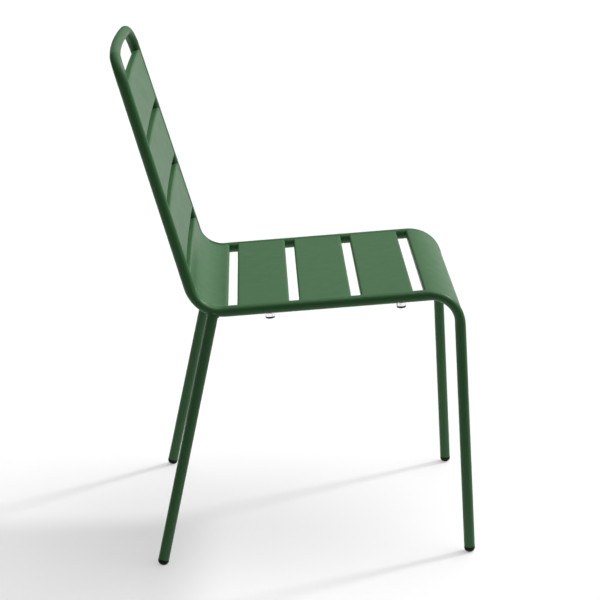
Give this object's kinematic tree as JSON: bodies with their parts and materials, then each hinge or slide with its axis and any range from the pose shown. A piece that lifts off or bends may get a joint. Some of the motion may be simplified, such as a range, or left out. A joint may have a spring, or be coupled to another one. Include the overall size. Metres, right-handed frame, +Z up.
{
  "type": "stacking chair",
  "caption": "Stacking side chair of bent round tube with folded sheet slats wrapping seat and back, splayed rear legs, foot glides and clear stacking bumpers.",
  "frame": {"origin": "on the floor, under the middle of the chair's overall width and depth", "axes": "+Z up; the sitter faces -Y, so the back is at +Y; +X is the sitter's left"},
  "size_m": [0.482, 0.5877, 0.8438],
  "materials": {
    "tube_paint": "satin dark green powder coat on steel tube",
    "slat_paint": "satin dark green powder coat on steel sheet",
    "glide_black": "matt black moulded plastic",
    "bumper_clear": "clear moulded plastic"
  },
  "bodies": {
    "root": {"frame_tube": "tube_paint", "rear_leg_left": "tube_paint", "rear_leg_right": "tube_paint", "front_slat": "slat_paint", "seat_slat_1": "slat_paint", "seat_slat_2": "slat_paint", "seat_slat_3": "slat_paint", "corner_slat": "slat_paint", "back_slat_3": "slat_paint", "back_slat_2": "slat_paint", "back_slat_1": "slat_paint", "glide_front_left": "glide_black", "glide_front_right": "glide_black", "glide_rear_left": "glide_black", "glide_rear_right": "glide_black", "bumper_front_left": "bumper_clear", "bumper_front_right": "bumper_clear", "bumper_rear_left": "bumper_clear", "bumper_rear_right": "bumper_clear"}
  },
  "joints": []
}
